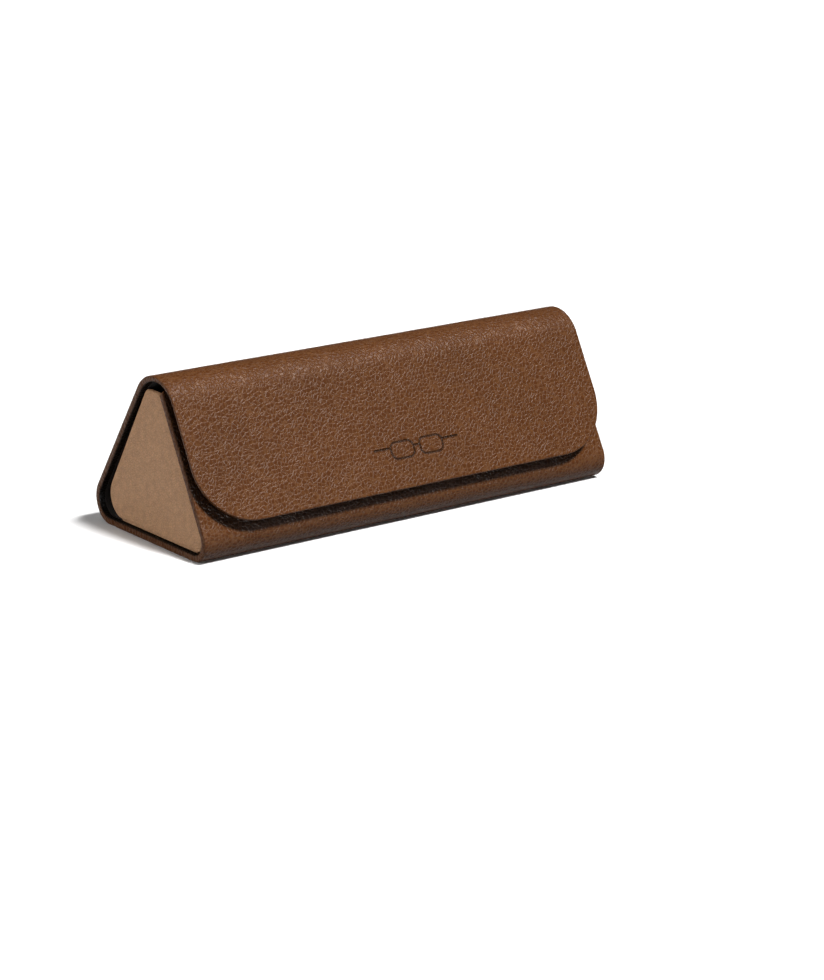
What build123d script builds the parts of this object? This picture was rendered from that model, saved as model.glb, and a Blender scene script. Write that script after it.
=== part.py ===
from build123d import *
import math
import os

# Folding glasses case, standing open as a three-sided prism. Millimetres.
# X runs along the case, the front panel faces -Y, +Z is up, and the base lies on Z = 0.

# ---- driving dimensions ----
LENGTH = 165.0          # every panel runs the whole length
FRONT_ANGLE = 62.0      # slope of the front panel from the floor
BACK_ANGLE = 55.5       # slope of the back panel from the floor
SPREAD = 77.3           # on the floor, from the front face's line to the back face's line
FRONT_CORNER_R = 7.0    # outer radius of the leather at the front lower corner
BACK_CORNER_R = 8.0     # outer radius at the back lower corner
RIDGE_R = 12.7          # outer radius of the leather over the ridge
FLAP_STANDOFF = 4.7     # from the front panel's outer face to the flap's outer face
FLAP_LENGTH = 41.2      # from the ridge leather to the flap's free edge
FLAP_CORNER_R = 20.0    # free corners of the flap
FRONT_LENGTH = 47.6     # from the front corner leather to the front panel's free edge

COVER = 0.8             # outer leather
BOARD = 1.3             # greyboard stiffener
LINING = 0.4            # inner lining
PANEL = COVER + BOARD + LINING
EDGE = 0.6              # the boards stop this far inside the leather's edge

EAR_INSET = 1.0         # from the end of the case to the outer face of the ear
EAR_FRONT_GAP = 0.6     # from the ear's edge to the front panel beside it
EAR_BACK_GAP_TOP = 0.5  # to the back panel, at the ear's top edge
EAR_BACK_GAP_LOW = 2.6  # to the back panel, at the bottom edge
EAR_TOP = 50.6          # height of the ear's top edge
EAR_LIFT = 0.6          # from the base lining up to the ear's lower edge
EAR_PIVOT_LIFT = 0.3    # from the base lining up to the axis the ear folds about
EAR_SKIN = 0.5          # leather on each face of the ear
EAR_BOARD = 0.8
EAR = 2 * EAR_SKIN + EAR_BOARD
EAR_TOP_R = 3.0
EAR_BACK_R = 7.5
EAR_FRONT_R = 3.5

MAGNET_R = 4.0
MAGNET_T = 1.1
MAGNET_SPACING = 90.0   # from one magnet to the other along the case
MAGNET_TO_EDGE = 9.0    # from the flap's free edge to the magnets' middle
MAGNET_PLAY = 0.1       # between a magnet and its pocket


# ---- the end profile: lines of the outer faces, as (y, z) points and unit vectors ----
def outward(angle):
    """Unit normal of a face that slopes up and back at angle, on its front side."""
    return (-math.sin(math.radians(angle)), math.cos(math.radians(angle)))


def touching(p, n, q, m, radius):
    """Centre of the circle that lies inside two faces and touches both.

    p and q are points on the faces, n and m their outward normals.
    """
    a = p[0] * n[0] + p[1] * n[1] - radius
    b = q[0] * m[0] + q[1] * m[1] - radius
    det = n[0] * m[1] - n[1] * m[0]
    return ((a * m[1] - b * n[1]) / det, (n[0] * b - m[0] * a) / det)


def along(p, direction, distance):
    return (p[0] + direction[0] * distance, p[1] + direction[1] * distance)


N_BASE = (0.0, -1.0)
N_FRONT = outward(FRONT_ANGLE)
N_BACK = (-outward(BACK_ANGLE)[0], outward(BACK_ANGLE)[1])
UP_FRONT = (N_FRONT[1], -N_FRONT[0])
UP_BACK = (-N_BACK[1], N_BACK[0])
FRONT_NORMAL = 90 + FRONT_ANGLE     # direction of the front's outward normal, from +Y
BACK_NORMAL = 90 - BACK_ANGLE
RIDGE_TURN = FRONT_NORMAL - BACK_NORMAL
RIDGE_MIDDLE = (FRONT_NORMAL + BACK_NORMAL) / 2

# First with the front face's line meeting the floor at y = 0, then moved to the middle.
FLOOR = (0.0, 0.0)
BACK_FOOT = (SPREAD, 0.0)
FLAP_FOOT = along(FLOOR, N_FRONT, FLAP_STANDOFF)
front_corner = touching(FLOOR, N_BASE, FLOOR, N_FRONT, FRONT_CORNER_R)
back_corner = touching(FLOOR, N_BASE, BACK_FOOT, N_BACK, BACK_CORNER_R)
ridge = touching(FLAP_FOOT, N_FRONT, BACK_FOOT, N_BACK, RIDGE_R)
flap_root = along(ridge, N_FRONT, RIDGE_R)
flap_tip = along(flap_root, UP_FRONT, -FLAP_LENGTH)
MIDDLE = (flap_tip[0] + back_corner[0] + BACK_CORNER_R) / 2


def centred(point):
    return (point[0] - MIDDLE, point[1])


front_corner = centred(front_corner)
back_corner = centred(back_corner)
ridge = centred(ridge)
flap_root = centred(flap_root)
back_root = along(back_corner, N_BACK, BACK_CORNER_R)
back_top = along(ridge, N_BACK, RIDGE_R)
front_root = along(front_corner, N_FRONT, FRONT_CORNER_R)
BACK_LENGTH = math.dist(back_root, back_top)
BASE_LENGTH = back_corner[0] - front_corner[0]


def face_plane(point, run, normal):
    """Plane on a panel's outer face: x along the case, y along run, z outwards."""
    origin = (0, point[0], point[1])
    turned = run[0] * normal[1] - run[1] * normal[0]
    return Plane(
        origin=origin,
        x_dir=(1 if turned > 0 else -1, 0, 0),
        z_dir=(0, normal[0], normal[1]),
    )


base_plane = face_plane((front_corner[0], 0.0), (1.0, 0.0), N_BASE)
back_plane = face_plane(back_root, UP_BACK, N_BACK)
front_plane = face_plane(front_root, UP_FRONT, N_FRONT)
flap_plane = face_plane(flap_root, (-UP_FRONT[0], -UP_FRONT[1]), N_FRONT)


def layer(plane, width, start, stop, depth, thickness, corner=0.0):
    """One flat layer of a panel, from depth inwards, with rounded free corners if asked."""
    outline = Rectangle(width, stop - start)
    if corner:
        outline = fillet(outline.vertices().sort_by(Axis.Y)[-2:], corner)
    return extrude(plane * Pos(0, (start + stop) / 2, -depth) * outline, amount=-thickness)


def magnets(plane, middle, radius, depth, thickness):
    """Both discs of a pair, as separate solids."""
    discs = [
        extrude(plane * Pos(side * MAGNET_SPACING / 2, middle, -depth) * Circle(radius), amount=-thickness)
        for side in (-1, 1)
    ]
    return discs[0] + discs[1]


def bend(centre, outer, thickness, start, stop, length):
    """A strip bent round an axis along X; start and stop are angles from +Y towards +Z."""
    rim = CenterArc((centre[0], centre[1]), outer, start, stop - start)
    bore = CenterArc((centre[0], centre[1]), outer - thickness, start, stop - start)
    section = make_face([rim, Line(rim @ 1, bore @ 1), bore, Line(bore @ 0, rim @ 0)])
    return extrude(Plane.YZ * section, amount=length / 2, both=True)


def save(name, solid):
    export_step(solid, f"parts/{name}.step")


# ---- panels ----
def panel(name, plane, size, root_edge, tip_edge, corner=0.0, magnet_at=None):
    """Cover, board and lining of one panel; the board stops EDGE short of each free edge."""
    board = layer(
        plane, LENGTH - 2 * EDGE, root_edge, size - tip_edge, COVER, BOARD,
        max(corner - tip_edge, 0.0),
    )
    if magnet_at is not None:
        skin = (BOARD - MAGNET_T) / 2
        board -= magnets(plane, magnet_at, MAGNET_R + MAGNET_PLAY, COVER, BOARD)
        save(f"{name}_magnets", magnets(plane, magnet_at, MAGNET_R, COVER + skin, MAGNET_T))
    save(f"{name}_cover", layer(plane, LENGTH, 0, size, 0, COVER, corner))
    save(f"{name}_board", board)
    save(f"{name}_lining", layer(plane, LENGTH, 0, size, COVER + BOARD, LINING, corner))


def corner_strip(name, centre, outer, start, stop):
    """Leather and lining that join two panels round a corner."""
    save(f"{name}_leather", bend(centre, outer, COVER, start, stop, LENGTH))
    save(f"{name}_lining", bend(centre, outer - COVER, LINING, start, stop, LENGTH))


# ---- ears ----
def ear_outline():
    """The ear in (y, z): inside the front, back and base, with rounded corners."""
    low = PANEL + EAR_LIFT

    def beside(foot, normal, run, gap, height):
        point = centred(along(foot, normal, -PANEL - gap))
        return along(point, run, (height - point[1]) / run[1])

    front_low = beside(FLOOR, N_FRONT, UP_FRONT, EAR_FRONT_GAP, low)
    back_low = beside(BACK_FOOT, N_BACK, UP_BACK, EAR_BACK_GAP_LOW, low)
    back_high = beside(BACK_FOOT, N_BACK, UP_BACK, EAR_BACK_GAP_TOP, EAR_TOP)
    front_high = beside(FLOOR, N_FRONT, UP_FRONT, EAR_FRONT_GAP, EAR_TOP)
    leaf = make_face(Polyline(front_low, back_low, back_high, front_high, close=True))
    by_height = leaf.vertices().sort_by(Axis.Y)
    high = by_height[-2:]
    low_front, low_back = by_height[:2].sort_by(Axis.X)
    leaf = fillet(high, EAR_TOP_R)
    leaf = fillet(nearest(leaf, low_back), EAR_BACK_R)
    return fillet(nearest(leaf, low_front), EAR_FRONT_R)


def nearest(sketch, vertex):
    return sketch.vertices().sort_by_distance(vertex.center())[0]


def ear(side, name):
    """One ear on the side given by -1 or 1: skin, board and skin, and its fold on the base."""
    outer = side * (LENGTH / 2 - EAR_INSET)

    def leaf(depth, thickness, inset):
        outline = offset(ear_outline(), amount=-inset) if inset else ear_outline()
        return extrude(
            Plane.YZ.offset(outer - side * depth) * outline, amount=-side * thickness
        )

    save(f"{name}_cover", leaf(0, EAR_SKIN, 0))
    save(f"{name}_board", leaf(EAR_SKIN, EAR_BOARD, EDGE))
    save(f"{name}_lining", leaf(EAR_SKIN + EAR_BOARD, EAR_SKIN, 0))
    foot = ear_outline().edges().sort_by(Axis.Y)[0]
    start = foot.bounding_box().min.X
    stop = foot.bounding_box().max.X
    fold = Pos(outer - side * EAR_SKIN / 2, (start + stop) / 2, PANEL + EAR_LIFT / 2)
    save(f"{name}_fold", fold * Box(EAR_SKIN, stop - start, EAR_LIFT))


def pivot(name, x, y, z):
    print(f"{name}: ({x / 1000:.6f}, {y / 1000:.6f}, {z / 1000:.6f})")


def strip_centre(centre, outer, turn, middle):
    """Where a strip bends about for small angles: the middle of mass of its arc."""
    mean = outer - (COVER + LINING) / 2
    half = math.radians(turn) / 2
    direction = (math.cos(math.radians(middle)), math.sin(math.radians(middle)))
    return along(centre, direction, mean * math.sin(half) / half)


def build():
    os.makedirs("parts", exist_ok=True)
    panel("base", base_plane, BASE_LENGTH, 0, 0)
    panel("back", back_plane, BACK_LENGTH, 0, 0)
    panel("front", front_plane, FRONT_LENGTH, 0, EDGE, 0, front_magnet_at)
    panel("flap", flap_plane, FLAP_LENGTH, 0, EDGE, FLAP_CORNER_R, FLAP_LENGTH - MAGNET_TO_EDGE)
    corner_strip("front_corner", front_corner, FRONT_CORNER_R, FRONT_NORMAL, 270)
    corner_strip("back_corner", back_corner, BACK_CORNER_R, -90, BACK_NORMAL)
    corner_strip("ridge", ridge, RIDGE_R, BACK_NORMAL, FRONT_NORMAL)
    ear(-1, "ear_left")
    ear(1, "ear_right")


# The front magnets lie straight behind the flap's, square to the front panel.
flap_magnet = along(flap_root, UP_FRONT, -(FLAP_LENGTH - MAGNET_TO_EDGE))
front_magnet_at = (flap_magnet[0] - front_root[0]) * UP_FRONT[0] + (
    flap_magnet[1] - front_root[1]
) * UP_FRONT[1]

build()
pivot("front_hinge", 0, *strip_centre(
    front_corner, FRONT_CORNER_R, 270 - FRONT_NORMAL, (270 + FRONT_NORMAL) / 2))
pivot("back_hinge", 0, *strip_centre(
    back_corner, BACK_CORNER_R, BACK_NORMAL + 90, (BACK_NORMAL - 90) / 2))
for name, middle in (
    ("ridge_hinge", RIDGE_MIDDLE - RIDGE_TURN / 4),
    ("flap_hinge", RIDGE_MIDDLE + RIDGE_TURN / 4),
):
    pivot(name, 0, *strip_centre(ridge, RIDGE_R, RIDGE_TURN / 2, middle))
for name, side in (("ear_left_hinge", -1), ("ear_right_hinge", 1)):
    pivot(name, side * (LENGTH / 2 - EAR_INSET - EAR), 0, PANEL + EAR_PIVOT_LIFT)
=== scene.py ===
import math

import bmesh
import bpy
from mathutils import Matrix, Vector, noise


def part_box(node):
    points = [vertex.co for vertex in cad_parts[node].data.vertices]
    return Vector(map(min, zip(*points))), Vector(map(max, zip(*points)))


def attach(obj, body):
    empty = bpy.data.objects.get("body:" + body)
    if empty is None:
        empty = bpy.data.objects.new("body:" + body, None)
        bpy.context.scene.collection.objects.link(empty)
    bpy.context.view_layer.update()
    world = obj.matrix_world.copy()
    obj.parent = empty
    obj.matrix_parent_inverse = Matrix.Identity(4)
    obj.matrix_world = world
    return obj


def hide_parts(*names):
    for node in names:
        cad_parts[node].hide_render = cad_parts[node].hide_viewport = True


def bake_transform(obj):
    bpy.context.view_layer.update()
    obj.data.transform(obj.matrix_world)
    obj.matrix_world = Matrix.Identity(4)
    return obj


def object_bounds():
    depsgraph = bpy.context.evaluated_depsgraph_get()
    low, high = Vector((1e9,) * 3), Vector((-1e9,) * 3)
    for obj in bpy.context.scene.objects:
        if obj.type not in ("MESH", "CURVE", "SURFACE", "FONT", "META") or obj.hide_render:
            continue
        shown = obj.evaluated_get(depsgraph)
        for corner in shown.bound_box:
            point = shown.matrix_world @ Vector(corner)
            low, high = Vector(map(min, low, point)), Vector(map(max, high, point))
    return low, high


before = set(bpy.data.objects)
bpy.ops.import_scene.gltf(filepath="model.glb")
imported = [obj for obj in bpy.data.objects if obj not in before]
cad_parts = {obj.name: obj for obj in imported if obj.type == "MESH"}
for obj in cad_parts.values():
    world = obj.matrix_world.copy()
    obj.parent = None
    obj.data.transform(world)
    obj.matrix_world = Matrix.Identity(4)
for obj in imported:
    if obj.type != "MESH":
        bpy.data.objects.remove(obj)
cad_low, cad_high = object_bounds()

# ---- driving dimensions, in metres, as in the CAD part ----
LENGTH = cad_high.x - cad_low.x
FRONT_NORMAL = math.radians(152.0)      # outward normals, from +Y towards +Z
BACK_NORMAL = math.radians(34.5)
BASE_NORMAL = math.radians(-90.0)
FRONT_CORNER_R = 0.007
BACK_CORNER_R = 0.008
RIDGE_R = 0.0127
FLAP_LENGTH = 0.0412
FLAP_CORNER_R = 0.020
FRONT_LENGTH = 0.0476
FRONT_FREE_R = 0.002                    # free corners of the front panel
PANEL = 0.0025                          # cover, board and lining together

SKIN = 0.0003                           # the leather wrapped round each board
RIM = 0.0023                            # thickness at the rims
FLAP_RIM = 0.0012                       # the flap is pressed thin round its edge
BOARD_INSET = 0.0035                    # the flap's board stops short of that thin edge
BOARD = 0.0010                          # thickness of the flap's board
BOARD_DEPTH = 0.32                      # its outer face, as a part of the wall's thickness
BOARD_BEVEL = 0.0001
RIM_BULGE = 0.0006                      # how far a rim rounds out past the flat face
RIM_RUN = 0.006                         # over which the wall grows from rim to full thickness
RIM_DARK_FROM = 0.58                    # how far round a rim its painted shade begins
RIM_DARK_RUN = 0.34
TURN_IN = 0.008                         # leather folded over and glued inside
LINING_INSET = 0.0022
LINING_RISE = 0.0002                    # the lining stands this proud of the turned-in leather
LINING_BEVEL = 0.00008
LINING_FREE_R = 0.0032                  # its free corners in the front panel
WAVE = 0.00005                          # gentle unevenness of leather glued to board

EAR = 0.0018
EAR_FRONT_GAP = 0.0006
EAR_BACK_GAP_TOP = 0.0005
EAR_BACK_GAP_LOW = 0.0026
EAR_TOP_R = 0.003
EAR_BACK_R = 0.0075
EAR_FRONT_R = 0.0035
STRIP = 0.0004                          # leather strip that hinges each ear
STRIP_INTO_EAR = 0.0011                 # how far up inside the ear the strip is glued
STRIP_ON_BASE = 0.0090                  # how far in from the ear it is glued to the base
PUFF = 0.00012                          # slight unevenness of the ear's faces

# ---- how finely the meshes are made ----
SHARP_EDGE = math.radians(60)
LEAST_CORNER = 0.0004                   # smallest radius a corner is given
LEAST_COLUMN = 0.00008                  # least distance between two columns
LEAST_ROW = 0.00006                     # and between two rows
NOT_THE_FACE = 1e-6                     # added at a rim, so that the mark stays off it
CLEAR = 1e-5                            # rows this close to the corners' end are left out
ROUNDING = 1e-9
EASE = 2.5                              # part of an inset over which inner rows even out
LEAST_TURN = 0.004                      # smallest turn between two rows in a corner, in radians
FLAT_STEP = 0.0016                      # along a flat panel
WIDTH_STEP = 0.0018                     # across the case
BEND_STEP = math.radians(2.5)
SEAM_STEP = 0.00012                     # close rows beside a seam, so that the joint is smooth
MARK_STEP = 0.00017
EDGE_STEP = 0.0015                      # along the straight edges of an ear
ARC_STEP = 0.0004                       # round its corners
CORNER_TURNS = 20                       # round a corner of a panel
RIM_TURNS = 14                          # round a rim
BANDS = 8                               # across the turned-in leather
EAR_TURNS = 8                           # round the rim of an ear
EAR_RINGS = 14                          # from the middle of an ear's face to its rim

# a place well inside the case, to tell which way its leather faces
INSIDE = Vector((0, (cad_low.y + cad_high.y) / 2, 0.35 * cad_high.z))

# ---- the end profile, from the flap's free edge over the ridge and round to the front ----
base_low, base_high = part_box("base_cover")
back_root_z = BACK_CORNER_R * (1 + math.sin(BACK_NORMAL))
BACK_LENGTH = (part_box("back_cover")[1].z - back_root_z) / math.cos(BACK_NORMAL)
BASE_LENGTH = base_high.y - base_low.y

# name, length, radius of the bend (None where flat)
RUNS = (
    ("flap", FLAP_LENGTH, None),
    ("ridge", RIDGE_R * (FRONT_NORMAL - BACK_NORMAL), RIDGE_R),
    ("back", BACK_LENGTH, None),
    ("back_corner", BACK_CORNER_R * (BACK_NORMAL - BASE_NORMAL), BACK_CORNER_R),
    ("base", BASE_LENGTH, None),
    ("front_corner", FRONT_CORNER_R * (BASE_NORMAL - FRONT_NORMAL + math.tau), FRONT_CORNER_R),
    ("front", FRONT_LENGTH, None),
)


def heading(angle):
    """Unit vector in the end profile's plane, from +Y towards +Z."""
    return Vector((math.cos(angle), math.sin(angle)))


def step_along(point, angle, radius, distance):
    """The (y, z) point and normal angle at a distance along one run."""
    if radius is None:
        return point + heading(angle - math.pi / 2) * distance, angle
    turned = angle - distance / radius
    return point + (heading(turned) - heading(angle)) * radius, turned


def lay_out():
    """Start of each run as (name, arc length, point, normal angle, radius, length)."""
    point, angle, travelled, laid = Vector((0, 0)), FRONT_NORMAL, 0.0, []
    for name, length, radius in RUNS:
        laid.append([name, travelled, point, angle, radius, length])
        point, angle = step_along(point, angle, radius, length)
        travelled += length
    base_start = next(run[2] for run in laid if run[0] == "base")
    shift = Vector((base_high.y, 0)) - base_start
    for run in laid:
        run[2] = run[2] + shift
    return laid


LAID = lay_out()
START = {run[0]: run[1] for run in LAID}
BACK_RUN, FRONT_RUN = LAID[2], LAID[6]
TOTAL = LAID[-1][1] + LAID[-1][5]
RIDGE_SEAM = START["ridge"] + RUNS[1][1] / 2
BACK_SEAM = START["back"] + BACK_LENGTH / 2
BASE_SEAM = START["base"] + BASE_LENGTH / 2


def run_at(s):
    """The run that a place round the case belongs to."""
    found = LAID[0]
    for run in LAID[1:]:
        if s >= run[1]:
            found = run
    return found


def smooth(t):
    """0 below 0, 1 above 1, and an even S between."""
    t = min(max(t, 0.0), 1.0)
    return t * t * (3 - 2 * t)


def rim_thickness(s):
    """Thin round the flap, growing over the ridge to the rims of the other panels."""
    _, start, _, _, _, length = LAID[1]
    return FLAP_RIM + (RIM - FLAP_RIM) * smooth((s - start) / length)


def edge_distance(x, s):
    """How far a place on the case lies inside its nearest edge."""
    side = LENGTH / 2 - abs(x)
    if s < FLAP_CORNER_R and side < FLAP_CORNER_R:
        return FLAP_CORNER_R - math.hypot(FLAP_CORNER_R - side, FLAP_CORNER_R - s)
    return min(side, s, TOTAL - s)


def thickness(x, s):
    """Whole thickness of the wall, from the outer face to the turned-in leather."""
    rim = rim_thickness(s)
    return rim + (PANEL - rim) * smooth((edge_distance(x, s) - RIM_BULGE) / RIM_RUN)


def on_case(x, s, depth):
    """A point at depth below the outer face, x along the case and s round it."""
    _, start, origin, angle, radius, _ = run_at(s)
    point, turned = step_along(origin, angle, radius, s - start)
    point = point - heading(turned) * depth
    return Vector((x, point.x, point.y))


# ---- the debossed pictogram: spectacles seen from the front, temples spread ----
MARK_X = 0.003
MARK_UP = 0.0128                        # from the flap's free edge
MARK_LENS = (0.0046, 0.0028)            # half sizes
MARK_LENS_R = 0.0022
MARK_BRIDGE = 0.0013                    # half length
MARK_BRIDGE_UP = 0.0008
MARK_TEMPLE = 0.0065
MARK_TEMPLE_UP = 0.0012
MARK_STROKE = 0.00026                   # half width
MARK_WALL = 0.00016                     # run of the stroke's sloping sides
MARK_DEPTH = 0.00040
MARK_REACH = (0.0185, 0.0045)           # half sizes of the area it lies in


def to_rounded_box(x, y, half_x, half_y, radius):
    """Signed distance to a rounded box round the origin."""
    qx = abs(x) - half_x + radius
    qy = abs(y) - half_y + radius
    return math.hypot(max(qx, 0.0), max(qy, 0.0)) + min(max(qx, qy), 0.0) - radius


def to_line(x, y, x0, x1, height):
    """Distance to a level line from x0 to x1."""
    return math.hypot(x - min(max(x, x0), x1), y - height)


def pressed(x, s):
    """1 in the strokes of the pictogram, falling to 0 beside them."""
    x = x - MARK_X
    y = s - MARK_UP
    if abs(x) > MARK_REACH[0] or abs(y) > MARK_REACH[1]:
        return 0.0
    middle = MARK_BRIDGE + MARK_LENS[0]
    side = abs(x)
    lens = abs(to_rounded_box(side - middle, y, *MARK_LENS, MARK_LENS_R))
    bridge = to_line(side, y, 0.0, MARK_BRIDGE, MARK_BRIDGE_UP)
    hinge = middle + MARK_LENS[0]
    temple = to_line(side, y, hinge, hinge + MARK_TEMPLE, MARK_TEMPLE_UP)
    away = min(lens, bridge, temple)
    return 1 - smooth((away - MARK_STROKE) / MARK_WALL)


def unevenness(x, s):
    """Long soft waves with smaller ones on them."""
    long_waves = noise.noise(Vector((x * 45, s * 60, 3.7)))
    short_waves = noise.noise(Vector((x * 140, s * 150, 9.1)))
    return WAVE * long_waves + WAVE * 0.6 * short_waves


def spread(start, stop, size):
    """Evenly spaced numbers from start to stop, about size apart, both ends included."""
    count = max(1, round(abs(stop - start) / size))
    return [start + (stop - start) * k / count for k in range(count + 1)]


def merged(values, close):
    """The values in order, without any closer than that to the one before."""
    kept = []
    for value in sorted(values):
        if not kept or value - kept[-1] > close:
            kept.append(value)
    return kept


# ---- meshes ----
def mesh_object(name, points, faces, uvs, marks=None):
    """A mesh with flat coordinates and, where given, point attributes."""
    mesh = bpy.data.meshes.new(name)
    mesh.from_pydata(points, [], faces)
    layer = mesh.uv_layers.new(name="UVMap")
    for loop in mesh.loops:
        layer.data[loop.index].uv = uvs[loop.vertex_index]
    for label, values in (marks or {}).items():
        mesh.attributes.new(label, "FLOAT", "POINT").data.foreach_set("value", values)
    mesh.validate()
    obj = bpy.data.objects.new(name, mesh)
    bpy.context.scene.collection.objects.link(obj)
    return obj


def settle(obj, solid=None, bevel=None):
    """Gives a sheet its thickness, softens its cut edges, and makes both part of the mesh."""
    if solid:
        shell = obj.modifiers.new("thickness", "SOLIDIFY")
        shell.thickness = solid
        shell.offset = -1
        shell.use_quality_normals = True
    if bevel:
        edge = obj.modifiers.new("edge", "BEVEL")
        edge.width = bevel
        edge.segments = 2
        edge.limit_method = "ANGLE"
        edge.angle_limit = SHARP_EDGE
        edge.use_clamp_overlap = True
    graph = bpy.context.evaluated_depsgraph_get()
    done = bpy.data.meshes.new_from_object(obj.evaluated_get(graph))
    obj.modifiers.clear()
    obj.data = done
    done.name = obj.name
    for face in done.polygons:
        face.use_smooth = True
    done.set_sharp_from_angle(angle=SHARP_EDGE)
    return obj


def corner_rows(stations, inset, corner, free_at, inner):
    """Rows through the rounded corners at a free edge, each with its matching inner place."""
    half = LENGTH / 2 - inset
    direction = 1 if free_at == 0 else -1
    round_r = max(corner - inset, LEAST_CORNER)
    inner_r = max(round_r - inner, 0.0)
    reach = inset + round_r
    inner_reach = inset + inner + inner_r
    turns = [math.pi / 2 * k / CORNER_TURNS for k in range(CORNER_TURNS + 1)]
    for s in stations:
        up = (reach - abs(s - free_at)) / round_r
        if 0 < up < 1:
            turns.append(math.acos(up))
    rows = []
    for turn in merged(turns, LEAST_TURN):
        side, down = math.sin(turn), math.cos(turn)
        rows.append((
            free_at + direction * (reach - round_r * down),
            half - round_r * (1 - side),
            (side, -down * direction),
            half - inner - inner_r * (1 - side),
            free_at + direction * (inner_reach - inner_r * down),
        ))
    return rows, reach, inner_reach


def outline_rows(stations, inset, corner, free_at, inner):
    """Rows across one piece, from its free edge inwards or from seam to seam.

    Each row has its place s, its half width, the outline's in-plane normal, and the
    matching half width and place on an inner outline, inner further in.
    """
    half = LENGTH / 2 - inset
    if free_at is None:
        return [(s, half, (1.0, 0.0), half - inner, s) for s in stations]
    direction = 1 if free_at == 0 else -1
    rows, reach, inner_reach = corner_rows(stations, inset, corner, free_at, inner)
    blend_to = EASE * (inset + inner)
    for s in stations:
        away = abs(s - free_at)
        if away <= reach + CLEAR:
            continue
        inner_s = s
        if away < blend_to:
            part = (away - reach) / (blend_to - reach)
            inner_s = free_at + direction * (inner_reach + part * (blend_to - inner_reach))
        rows.append((s, half, (1.0, 0.0), half - inner, inner_s))
    return rows


def columns(dense):
    """Places across the width, from -1 to 1, closer together at the mark if dense."""
    half = LENGTH / 2
    places = spread(-1, 1, WIDTH_STEP / half)
    if dense:
        reach = MARK_REACH[0]
        places += spread((MARK_X - reach) / half, (MARK_X + reach) / half, MARK_STEP / half)
    return merged(places, LEAST_COLUMN / half)


def squared(value, power=0.6):
    """A sine or cosine pushed outwards, for a rim that is squarer than half a circle."""
    return math.copysign(abs(value) ** power, value)


def quads(near, far):
    """Faces between two rows of points."""
    return [(near[k], near[k + 1], far[k + 1], far[k]) for k in range(len(near) - 1)]


def open_edges(rows, last, closed):
    """The open edge, as (row, side, column): right, then the free edge if there is one, left."""
    right = [(i, 1, last) for i in range(len(rows) - 1, -1, -1)]
    left = [(i, -1, 0) for i in range(len(rows))]
    if not closed:
        return [right, left]
    return [right + [(0, 0, k) for k in range(last - 1, 0, -1)] + left]


def rim_profile(row, side, place, add):
    """Points from the outer face round one place on the rim and over the turned-in band."""
    s, half, (nx, ns), inner_half, inner_s = row
    x = place * half
    nx *= side
    rim = rim_thickness(s)
    start = unevenness(x, s)
    around = math.pi / 2 * (rim / 2 + RIM_BULGE)
    profile = []
    for turn in range(1, RIM_TURNS + 1):
        part = turn / RIM_TURNS
        out = RIM_BULGE * squared(math.sin(math.pi * part))
        depth = rim / 2 * (1 - squared(math.cos(math.pi * part))) + start * (1 - part)
        flat = (x + nx * around * part, s + ns * around * part)
        # painted shade, growing round the rim's inner half
        painted_shade = smooth((part - RIM_DARK_FROM) / RIM_DARK_RUN) + NOT_THE_FACE
        profile.append(add(x + nx * out, s + ns * out, depth, flat, painted_shade))
    for band in range(1, BANDS + 1):
        part = band / BANDS
        bx = x + (place * inner_half - x) * part
        bs = s + (inner_s - s) * part
        far = around + math.hypot(bx - x, bs - s)
        # the turned-in band is painted in full shade
        profile.append(add(bx, bs, thickness(bx, bs), (x + nx * far, s + ns * far), 1.0))
    return profile


def leather_piece(name, stations, free_at=None, corner=0.0, marked=False):
    """Leather wrapped over one piece of the case: outer face, rounded rims and turned-in band."""
    rows = outline_rows(stations, RIM_BULGE, corner, free_at, TURN_IN)
    across = columns(marked)
    points, uvs, faces, inner, press = [], [], [], [], []

    def add(x, s, depth, flat, painted_shade=0.0):
        dent = pressed(x, s) if marked and not painted_shade else 0.0
        points.append(on_case(x, s, depth + MARK_DEPTH * dent))
        uvs.append(flat)
        inner.append(painted_shade)
        press.append(dent)
        return len(points) - 1

    grid = []
    for s, half, *_ in rows:
        places = [place * half for place in across]
        grid.append([add(x, s, unevenness(x, s), (x, s)) for x in places])
    for near, far in zip(grid, grid[1:]):
        faces += quads(near, far)
    for edge in open_edges(rows, len(across) - 1, free_at is not None):
        profiles = [
            [grid[i][k]] + rim_profile(rows[i], side, across[k], add) for i, side, k in edge
        ]
        for near, far in zip(profiles, profiles[1:]):
            faces += quads(near, far)
    # the inner attribute carries the painted shade of the rims and the turned-in band
    obj = mesh_object(name, points, faces, uvs, {"inner": inner, "pressed": press})
    face_outwards(obj)
    return settle(obj, SKIN)


def face_outwards(obj):
    """Makes every face of the open sheet agree, with the outer face looking out of the case."""
    work = bmesh.new()
    work.from_mesh(obj.data)
    bmesh.ops.recalc_face_normals(work, faces=work.faces)
    work.faces.ensure_lookup_table()
    face = work.faces[0]
    away = face.calc_center_median() - INSIDE
    away.x = 0
    if face.normal.dot(away) < 0:
        bmesh.ops.reverse_faces(work, faces=work.faces)
    work.to_mesh(obj.data)
    work.free()


def sheet_grid(name, rows, depth_at):
    """A plain sheet following the case at the depth that depth_at(x, s) gives."""
    across = columns(False)
    points, uvs, faces, grid = [], [], [], []
    for s, half, _, _, _ in rows:
        line = []
        for place in across:
            x = place * half
            points.append(on_case(x, s, depth_at(x, s)))
            uvs.append((x, s))
            line.append(len(points) - 1)
        grid.append(line)
    for near, far in zip(grid, grid[1:]):
        faces += quads(near, far)
    obj = mesh_object(name, points, faces, uvs)
    face_outwards(obj)
    return obj


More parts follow.
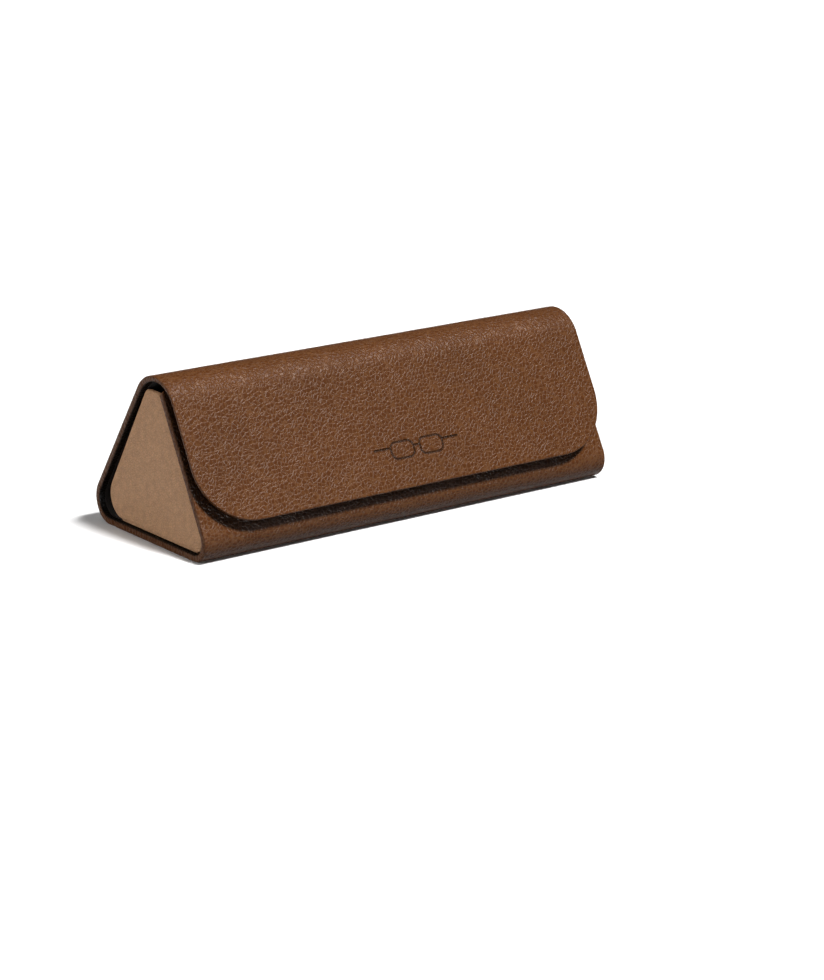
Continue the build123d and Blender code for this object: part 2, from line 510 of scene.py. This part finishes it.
def lining_piece(name, stations, free_at=None, corner=0.0):
    """The lining glued inside, over the edge of the turned-in leather."""
    def depth_at(x, s):
        return thickness(x, s) + LINING_RISE + 0.4 * unevenness(x, s + 0.5)

    rows = outline_rows(stations, LINING_INSET, corner, free_at, 0.0)
    obj = sheet_grid(name, rows, depth_at)
    obj.data.flip_normals()
    return settle(obj, LINING_RISE, LINING_BEVEL)


def flap_board():
    """Greyboard between the flap's leather and lining, pressed thinner with its edge."""
    rows = outline_rows(
        stations(0.0, FLAP_LENGTH - LINING_INSET), BOARD_INSET, FLAP_CORNER_R, 0, 0.0
    )
    obj = sheet_grid("flap_pressed_board", rows, lambda x, s: BOARD_DEPTH * thickness(x, s))
    return settle(obj, BOARD, BOARD_BEVEL)


def stations(start, stop):
    """Places round the case: close together in the bends and at their ends."""
    places = [start, stop]
    for _, run_start, _, _, radius, length in LAID:
        run_stop = run_start + length
        size = FLAT_STEP if radius is None else radius * BEND_STEP
        places += spread(run_start, run_stop, size)
    for seam in (start, stop):
        places += [seam + SEAM_STEP * k for k in range(-4, 5)]
    low, high = start - ROUNDING, stop + ROUNDING
    return [place for place in merged(places, LEAST_ROW) if low <= place <= high]


MARK_ROWS = spread(MARK_UP - MARK_REACH[1], MARK_UP + MARK_REACH[1], MARK_STEP)

flap_leather = leather_piece(
    "flap_and_ridge_leather",
    merged(stations(0.0, RIDGE_SEAM) + MARK_ROWS, LEAST_ROW),
    free_at=0, corner=FLAP_CORNER_R, marked=True,
)
pressed_board = flap_board()
back_leather = leather_piece("back_and_ridge_leather", stations(RIDGE_SEAM, BACK_SEAM))
base_leather = leather_piece("back_and_base_leather", stations(BACK_SEAM, BASE_SEAM))
front_leather = leather_piece(
    "base_and_front_leather", stations(BASE_SEAM, TOTAL)[::-1],
    free_at=TOTAL, corner=FRONT_FREE_R,
)
flap_lining = lining_piece(
    "flap_and_ridge_lining", stations(0.0, RIDGE_SEAM), free_at=0, corner=FLAP_CORNER_R
)
back_lining = lining_piece("back_and_ridge_lining", stations(RIDGE_SEAM, BACK_SEAM))
base_lining = lining_piece("back_and_base_lining", stations(BACK_SEAM, BASE_SEAM))
front_lining = lining_piece(
    "base_and_front_lining", stations(BASE_SEAM, TOTAL)[::-1],
    free_at=TOTAL, corner=LINING_FREE_R,
)


# ---- ears ----
def rounded(corners, step):
    """A closed outline through corners given as (point, radius), sampled about step apart."""
    count = len(corners)
    arcs = []
    for k, (point, radius) in enumerate(corners):
        before = (corners[k - 1][0] - point).normalized()
        after = (corners[(k + 1) % count][0] - point).normalized()
        half = math.acos(max(-1, min(1, before.dot(after)))) / 2
        centre = point + (before + after).normalized() * (radius / math.sin(half))
        start = point + before * (radius / math.tan(half)) - centre
        stop = point + after * (radius / math.tan(half)) - centre
        turn = math.atan2(start.x * stop.y - start.y * stop.x, start.dot(stop))
        pieces = max(6, round(abs(turn) * radius / ARC_STEP))
        first = math.atan2(start.y, start.x)
        normals = [heading(first + turn * j / pieces) for j in range(pieces + 1)]
        arcs.append([(centre + normal * radius, normal) for normal in normals])
    outline = []
    for k, arc in enumerate(arcs):
        outline += arc
        end, normal = arc[-1]
        start = arcs[(k + 1) % count][0][0]
        gaps = max(1, round((start - end).length / step))
        outline += [(end + (start - end) * j / gaps, normal) for j in range(1, gaps)]
    return outline


def ear_corners(name):
    """The ear's four corners before rounding, at the heights of its CAD cover."""
    low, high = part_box(f"{name}_cover")

    def beside(run, gap, height):
        _, start, _, angle, _, _ = run
        point = on_case(0, start, PANEL + gap)
        up = heading(angle + math.pi / 2) if run is BACK_RUN else heading(angle - math.pi / 2)
        return Vector((point.y + up.x * (height - point.z) / up.y, height))

    return [
        (beside(FRONT_RUN, EAR_FRONT_GAP, low.z), EAR_FRONT_R),
        (beside(BACK_RUN, EAR_BACK_GAP_LOW, low.z), EAR_BACK_R),
        (beside(BACK_RUN, EAR_BACK_GAP_TOP, high.z), EAR_TOP_R),
        (beside(FRONT_RUN, EAR_FRONT_GAP, high.z), EAR_TOP_R),
    ]


def leaf_mesh(outline, outer, side, points, uvs):
    """A closed leaf with a rounded rim, as rings from the middle of one face to the other's."""
    rim = EAR / 2
    middle = sum((point for point, _ in outline), Vector((0, 0))) / len(outline)

    def add(point, depth, flat=None):
        flat = flat or point
        puff = PUFF * noise.noise(Vector((point.x * 90, point.y * 90, side * 2.0)))
        points.append(Vector((outer - side * (depth + puff), point.x, point.y)))
        uvs.append((flat.x, flat.y))
        return len(points) - 1

    def on_face(k, depth):
        return [add(middle + (p - n * rim - middle) * (k / EAR_RINGS), depth) for p, n in outline]

    rings = [on_face(k, 0.0) for k in range(1, EAR_RINGS + 1)]
    for k in range(1, EAR_TURNS + 1):
        angle = math.pi * k / EAR_TURNS
        out = rim * (math.sin(angle) - 1)
        depth = rim * (1 - math.cos(angle))
        rings.append([add(p + n * out, depth, p + n * (rim * (angle - 1))) for p, n in outline])
    rings += [on_face(k, EAR) for k in range(EAR_RINGS - 1, 0, -1)]

    faces = []
    for near, far in zip(rings, rings[1:]):
        faces += quads(near + near[:1], far + far[:1])
    for ring, depth in ((rings[0], 0.0), (rings[-1], EAR)):
        hub = add(middle, depth)
        faces += [(a, b, hub) for a, b in zip(ring, ring[1:] + ring[:1])]
    return faces


def strip_mesh(foot_low, foot_high, outer, side, points, uvs):
    """The strip that hinges an ear: down out of the ear, round, and in along the base."""
    top, floor = foot_high.z, foot_low.z
    rise = top - floor
    path = (                            # depth from the ear's outer face, height
        (0.00020, top + STRIP_INTO_EAR),
        (0.00020, top + 0.0004),
        (0.00020, top - 0.0001),
        (0.00026, floor + 0.7 * rise),
        (0.00050, floor + 0.00014),
        (0.0009, floor + 0.00004),
        (0.0014, floor + 0.00002),
        (0.0040, floor + 0.00002),
        (0.0065, floor + 0.00002),
        (STRIP_ON_BASE, floor + 0.00002),
    )
    layers = []
    for skin in (0.0, STRIP):
        layer, length = [], 0.0
        for k, (depth, z) in enumerate(path):
            length += math.dist(path[k], path[k - 1]) if k else 0.0
            lying = smooth((top - z) / rise)
            x = outer - side * (depth + skin * (1 - lying))
            line = []
            for y in spread(foot_low.y, foot_high.y, EDGE_STEP):
                points.append(Vector((x, y, z + skin * lying)))
                uvs.append((y, top - length))
                line.append(len(points) - 1)
            layer.append(line)
        layers.append(layer)
    under, over = layers
    faces = []
    for layer in layers:
        for upper, lower in zip(layer, layer[1:]):
            faces += quads(upper, lower)
    for end in (0, -1):
        faces += quads(under[end], over[end])
        faces += quads([line[end] for line in under], [line[end] for line in over])
    return faces


def ear_piece(name, side):
    """Soft leather over the ear's board, with the strip that hinges it glued to the base."""
    low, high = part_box(f"{name}_cover")
    outer = high.x if side > 0 else low.x
    points, uvs = [], []
    faces = leaf_mesh(rounded(ear_corners(name), EDGE_STEP), outer, side, points, uvs)
    faces += strip_mesh(*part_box(f"{name}_fold"), outer, side, points, uvs)
    obj = mesh_object(f"{name}_leather", points, faces, uvs)
    work = bmesh.new()
    work.from_mesh(obj.data)
    bmesh.ops.recalc_face_normals(work, faces=work.faces)
    work.to_mesh(obj.data)
    work.free()
    return settle(obj)


ears = {"ear_left": ear_piece("ear_left", -1), "ear_right": ear_piece("ear_right", 1)}


# ---- materials: colours are linear, scales are in cells or clouds per metre ----
CREASE_PAINTED_HIGHLIGHT = (0.133, 0.0540, 0.0185)        # of the brown leather, paler than the cells it bounds: a painted highlight on the grain's edges
CELL = (0.083, 0.0245, 0.0040)
# painted shade: near black on the rims' inner sides and the turned-in band
RIM_PAINTED_SHADE = (0.008, 0.005, 0.003)
TAN = ((0.59, 0.318, 0.160), (0.68, 0.372, 0.192))
NAP = ((0.010, 0.006, 0.004), (0.026, 0.015, 0.009))
FIBRES = ((0.30, 0.27, 0.225), (0.50, 0.455, 0.39))
NICKEL = ((0.58, 0.57, 0.54), (0.66, 0.65, 0.62))


def new_material(name):
    """A material with one Principled shader, its node tree and that shader."""
    material = bpy.data.materials.new(name)
    material.use_nodes = True
    nodes = material.node_tree.nodes
    nodes.clear()
    output = nodes.new("ShaderNodeOutputMaterial")
    shader = nodes.new("ShaderNodeBsdfPrincipled")
    material.node_tree.links.new(shader.outputs["BSDF"], output.inputs["Surface"])
    return material, material.node_tree, shader


def add_node(tree, kind, values=None, **settings):
    node = tree.nodes.new(kind)
    for key, value in settings.items():
        setattr(node, key, value)
    for key, value in (values or {}).items():
        node.inputs[key].default_value = value
    return node


def ramp(tree, source, stops):
    """A colour ramp with (place, grey or colour) stops."""
    node = tree.nodes.new("ShaderNodeValToRGB")
    elements = node.color_ramp.elements
    while len(elements) < len(stops):
        elements.new(0.5)
    for element, (position, colour) in zip(elements, stops):
        element.position = position
        element.color = (*colour, 1.0) if hasattr(colour, "__len__") else (colour,) * 3 + (1.0,)
    tree.links.new(source, node.inputs["Fac"])
    return node.outputs["Color"]


def mix_colours(tree, factor, first, second, blend_type="MIX"):
    node = add_node(tree, "ShaderNodeMix", data_type="RGBA", blend_type=blend_type)
    sockets = (node.inputs[0], node.inputs[6], node.inputs[7])
    for value, socket in zip((factor, first, second), sockets):
        if hasattr(value, "is_linked"):
            tree.links.new(value, socket)
        else:
            socket.default_value = value if not hasattr(value, "__len__") else (*value, 1.0)
    return node.outputs[2]


def multiply(tree, first, second):
    """One colour times another."""
    return mix_colours(tree, 1.0, first, second, "MULTIPLY")


def math_node(tree, operation, first, second):
    node = add_node(tree, "ShaderNodeMath", operation=operation)
    for value, socket in ((first, node.inputs[0]), (second, node.inputs[1])):
        if hasattr(value, "is_linked"):
            tree.links.new(value, socket)
        else:
            socket.default_value = value
    return node.outputs[0]


def flat_coordinates(tree, wobble_scale, wobble):
    """The leather's own flat coordinates, in metres, gently distorted."""
    uv = add_node(tree, "ShaderNodeUVMap", uv_map="UVMap").outputs["UV"]
    cloud = add_node(tree, "ShaderNodeTexNoise", {"Scale": wobble_scale, "Detail": 2.0})
    tree.links.new(uv, cloud.inputs["Vector"])
    centred = add_node(tree, "ShaderNodeVectorMath", operation="SUBTRACT")
    tree.links.new(cloud.outputs["Color"], centred.inputs[0])
    centred.inputs[1].default_value = (0.5, 0.5, 0.5)
    scaled = add_node(tree, "ShaderNodeVectorMath", operation="SCALE")
    tree.links.new(centred.outputs[0], scaled.inputs[0])
    scaled.inputs["Scale"].default_value = wobble
    moved = add_node(tree, "ShaderNodeVectorMath", operation="ADD")
    tree.links.new(uv, moved.inputs[0])
    tree.links.new(scaled.outputs[0], moved.inputs[1])
    return uv, moved.outputs[0]


def cells(tree, vector, scale, randomness=1.0):
    """Distance to the nearest edge of a network of cells."""
    node = add_node(
        tree, "ShaderNodeTexVoronoi", {"Scale": scale, "Randomness": randomness},
        feature="DISTANCE_TO_EDGE",
    )
    tree.links.new(vector, node.inputs["Vector"])
    return node.outputs["Distance"]


def clouds(tree, vector, scale, detail=4.0, rough=0.55):
    values = {"Scale": scale, "Detail": detail, "Roughness": rough}
    node = add_node(tree, "ShaderNodeTexNoise", values)
    tree.links.new(vector, node.inputs["Vector"])
    return node.outputs["Fac"]


def bump(tree, shader, height, distance):
    node = add_node(tree, "ShaderNodeBump", {"Strength": 1.0, "Distance": distance})
    tree.links.new(height, node.inputs["Height"])
    tree.links.new(node.outputs["Normal"], shader.inputs["Normal"])


def attribute(tree, name):
    return add_node(tree, "ShaderNodeAttribute", attribute_name=name).outputs["Fac"]


def pebbled_leather():
    """Brown leather: creases painted pale as a highlight round small cells, painted shade in the
    pressed mark and round the rims' inner sides.
    """
    material, tree, shader = new_material("brown_leather")
    uv, bent = flat_coordinates(tree, 900.0, 0.0003)
    grain = ramp(tree, cells(tree, bent, 740.0, 0.85), ((0.0, 0.0), (0.07, 0.45), (0.21, 1.0)))
    pores = clouds(tree, uv, 4200.0, 3.0, 0.6)
    drift = clouds(tree, uv, 38.0, 4.0)
    # the creases carry a painted highlight, paler than the cells
    colour = mix_colours(tree, grain, CREASE_PAINTED_HIGHLIGHT, CELL)
    darker = ramp(tree, drift, ((0.3, 0.90), (0.7, 1.06)))
    colour = multiply(tree, colour, darker)
    speck = ramp(tree, pores, ((0.38, 0.72), (0.60, 1.06)))
    colour = multiply(tree, colour, speck)
    # painted shade in the strokes of the pressed mark
    painted_groove_shade = ramp(tree, attribute(tree, "pressed"), ((0.15, 1.0), (0.75, 0.36)))
    colour = multiply(tree, colour, painted_groove_shade)
    # painted shade: the rims' inner sides and the turned-in band go near black
    colour = mix_colours(tree, attribute(tree, "inner"), colour, RIM_PAINTED_SHADE)
    tree.links.new(colour, shader.inputs["Base Color"])
    tree.links.new(ramp(tree, grain, ((0.0, 0.32), (1.0, 0.40))), shader.inputs["Roughness"])
    height = math_node(tree, "ADD", grain, math_node(tree, "MULTIPLY", pores, 0.14))
    bump(tree, shader, height, 0.00012)
    shader.inputs["Specular IOR Level"].default_value = 0.08
    return material


def smooth_leather():
    """Tan leather with a very fine grain."""
    material, tree, shader = new_material("tan_leather")
    uv, bent = flat_coordinates(tree, 900.0, 0.0008)
    grain = ramp(tree, cells(tree, bent, 1150.0), ((0.0, 0.0), (0.22, 1.0)))
    creases = ramp(tree, cells(tree, bent, 420.0), ((0.0, 0.0), (0.06, 1.0)))
    pores = clouds(tree, uv, 6000.0, 3.0, 0.6)
    drift = clouds(tree, uv, 60.0, 5.0)
    colour = mix_colours(tree, drift, *TAN)
    shade = ramp(tree, grain, ((0.0, 0.82), (1.0, 1.0)))
    colour = multiply(tree, colour, shade)
    mottle = ramp(tree, clouds(tree, uv, 420.0, 5.0, 0.65), ((0.35, 0.88), (0.65, 1.08)))
    colour = multiply(tree, colour, mottle)
    tree.links.new(colour, shader.inputs["Base Color"])
    height = math_node(tree, "ADD", grain, math_node(tree, "MULTIPLY", pores, 0.4))
    height = math_node(tree, "ADD", height, math_node(tree, "MULTIPLY", creases, 0.5))
    bump(tree, shader, height, 0.00018)
    tree.links.new(ramp(tree, grain, ((0.0, 0.62), (1.0, 0.54))), shader.inputs["Roughness"])
    shader.inputs["Specular IOR Level"].default_value = 0.4
    return material


def suede():
    """Dull dark lining with a brushed nap."""
    material, tree, shader = new_material("brown_suede")
    uv, bent = flat_coordinates(tree, 500.0, 0.0012)
    nap = clouds(tree, bent, 4200.0, 4.0, 0.65)
    brushed = clouds(tree, uv, 55.0, 5.0, 0.6)
    colour = mix_colours(tree, nap, *NAP)
    shade = ramp(tree, brushed, ((0.3, 0.75), (0.7, 1.15)))
    colour = multiply(tree, colour, shade)
    tree.links.new(colour, shader.inputs["Base Color"])
    bump(tree, shader, nap, 0.00012)
    shader.inputs["Roughness"].default_value = 0.95
    shader.inputs["Specular IOR Level"].default_value = 0.2
    shader.inputs["Sheen Weight"].default_value = 0.06
    shader.inputs["Sheen Roughness"].default_value = 0.5
    return material


def object_coordinates(tree):
    return add_node(tree, "ShaderNodeTexCoord").outputs["Object"]


def cardboard():
    """Greyboard with fibres and flecks."""
    material, tree, shader = new_material("greyboard")
    place = object_coordinates(tree)
    fibres = clouds(tree, place, 1800.0, 6.0, 0.7)
    flecks = ramp(tree, clouds(tree, place, 700.0, 3.0), ((0.45, 1.0), (0.62, 0.72)))
    colour = mix_colours(tree, fibres, *FIBRES)
    colour = multiply(tree, colour, flecks)
    tree.links.new(colour, shader.inputs["Base Color"])
    bump(tree, shader, fibres, 0.00008)
    shader.inputs["Roughness"].default_value = 0.9
    return material


def nickel():
    """Plated discs with fine scratches."""
    material, tree, shader = new_material("nickel_plate")
    place = object_coordinates(tree)
    scratches = clouds(tree, place, 900.0, 5.0, 0.7)
    tree.links.new(ramp(tree, scratches, ((0.3, 0.22), (0.7, 0.38))), shader.inputs["Roughness"])
    tint = mix_colours(tree, scratches, *NICKEL)
    tree.links.new(tint, shader.inputs["Base Color"])
    shader.inputs["Metallic"].default_value = 1.0
    return material


MATERIALS = {
    "brown_leather": pebbled_leather(),
    "tan_leather": smooth_leather(),
    "brown_suede": suede(),
    "greyboard": cardboard(),
    "nickel_plate": nickel(),
}


def dress(obj, slot):
    obj.data.materials.clear()
    obj.data.materials.append(MATERIALS[slot])


# the CAD nodes that still show: boards and magnets
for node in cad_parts.values():
    for slot in node.material_slots:
        slot.material = MATERIALS["nickel_plate" if "magnets" in node.name else "greyboard"]

# ---- each piece with its material, the bodies and ends it lies between, and the CAD nodes it hides ----
RIDGE_TOP = on_case(0, RIDGE_SEAM, 0)
FLAP_ROOT = on_case(0, START["ridge"], 0)
BACK_TOP = on_case(0, START["back"], 0)
BACK_ROOT = on_case(0, START["back_corner"], 0)
BASE_REAR = on_case(0, START["base"], 0)
BASE_FRONT = on_case(0, START["front_corner"], 0)
FRONT_ROOT = on_case(0, START["front"], 0)

for piece, slot, bodies, ends, nodes in (
    (flap_leather, "brown_leather", ("ridge", "flap"), (RIDGE_TOP, FLAP_ROOT),
     ("flap_cover", "ridge_leather")),
    (flap_lining, "brown_suede", ("ridge", "flap"), (RIDGE_TOP, FLAP_ROOT),
     ("flap_lining", "ridge_lining")),
    (back_leather, "brown_leather", ("back", "ridge"), (BACK_TOP, RIDGE_TOP), ("back_cover",)),
    (back_lining, "brown_suede", ("back", "ridge"), (BACK_TOP, RIDGE_TOP), ("back_lining",)),
    (base_leather, "brown_leather", ("base", "back"), (BASE_REAR, BACK_ROOT),
     ("back_corner_leather", "base_cover")),
    (base_lining, "brown_suede", ("base", "back"), (BASE_REAR, BACK_ROOT),
     ("back_corner_lining", "base_lining")),
    (front_leather, "brown_leather", ("base", "front"), (BASE_FRONT, FRONT_ROOT),
     ("front_corner_leather", "front_cover")),
    (front_lining, "brown_suede", ("base", "front"), (BASE_FRONT, FRONT_ROOT),
     ("front_corner_lining", "front_lining")),
):
    dress(piece, slot)
    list(bodies)
    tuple(ends[0])
    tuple(ends[1])
    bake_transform(piece)
    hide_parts(*nodes)

dress(pressed_board, "greyboard")
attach(pressed_board, "flap")
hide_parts("flap_board")

for name, piece in ears.items():
    dress(piece, "tan_leather")
    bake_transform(piece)
    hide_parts(f"{name}_cover", f"{name}_lining", f"{name}_fold")

# ---- floor, surround and lights ----
REACH = 6.0                             # half the width of the studio
FLOOR_DROP = 0.0001                     # keeps the floor just clear of the base
CORNERS = [(x * REACH, y * REACH) for x, y in ((-1, -1), (1, -1), (1, 1), (-1, 1))]


def studio_part(name, points, faces, values):
    mesh = bpy.data.meshes.new(name)
    mesh.from_pydata(points, [], faces)
    part = bpy.data.objects.new(name, mesh)
    bpy.context.scene.collection.objects.link(part)
    material, _, shader = new_material(name)
    for key, value in values.items():
        shader.inputs[key].default_value = value
    mesh.materials.append(material)
    return part


floor = studio_part(
    "floor", [(x, y, -FLOOR_DROP) for x, y in CORNERS], [(0, 1, 2, 3)],
    {"Base Color": (0.92, 0.92, 0.92, 1), "Roughness": 0.9, "Specular IOR Level": 0.1},
)
floor.visible_diffuse = False           # the photograph's floor throws almost no light up

wall = studio_part(
    "studio_wall", [(x, y, z) for z in (-0.01, REACH) for x, y in CORNERS],
    [(0, 1, 5, 4), (1, 2, 6, 5), (2, 3, 7, 6), (3, 0, 4, 7), (4, 5, 6, 7)],
    {
        "Base Color": (0, 0, 0, 1), "Specular IOR Level": 0.0,
        "Emission Color": (1, 1, 1, 1), "Emission Strength": 1.0,
    },
)
wall.visible_diffuse = False            # a plain white surround that adds no light of its own
wall.visible_glossy = False
wall.visible_shadow = False

world = bpy.data.worlds.new("studio")
world.use_nodes = True
background = world.node_tree.nodes["Background"]
background.inputs["Color"].default_value = (1.0, 0.99, 0.975, 1)
background.inputs["Strength"].default_value = 0.10
scene = bpy.context.scene
scene.world = world
scene.view_settings.view_transform = "Standard"


def light(name, kind, energy, place, aim, **settings):
    data = bpy.data.lights.new(name, kind)
    data.energy = energy
    for key, value in settings.items():
        setattr(data, key, value)
    lamp = bpy.data.objects.new(name, data)
    lamp.location = place
    lamp.rotation_euler = (Vector(aim) - Vector(place)).to_track_quat("-Z", "Y").to_euler()
    scene.collection.objects.link(lamp)
    return lamp


def panel_light(name, energy, place, aim_height, width, height):
    return light(
        name, "AREA", energy, place, (0, 0, aim_height),
        shape="RECTANGLE", size=width, size_y=height,
    )


light("key", "SUN", 4.9, (0.12, -0.54, 0.83), (0, 0, 0), angle=math.radians(9))
panel_light("left", 6.2, (-1.1, 0.30, 0.42), 0.03, 0.7, 0.5)
for sheen in (
    panel_light("ridge", 14.0, (0.40, -0.22, 0.98), 0.05, 0.32, 0.34),
    panel_light("low", 40.0, (-0.25, -1.2, 0.03), 0.01, 1.0, 0.1),
):
    sheen.visible_diffuse = False       # these two give only the sheen on the leather

# ---- the photograph's camera ----
camera_data = bpy.data.cameras.new("camera")
camera_data.lens = 105.5
camera_data.sensor_width = 36.0
camera = bpy.data.objects.new("camera", camera_data)
camera.location = (-0.5478, -0.7511, 0.2760)
camera.rotation_euler = (math.radians(90 - 16.35), 0, math.radians(-37.2))
scene.collection.objects.link(camera)
scene.camera = camera
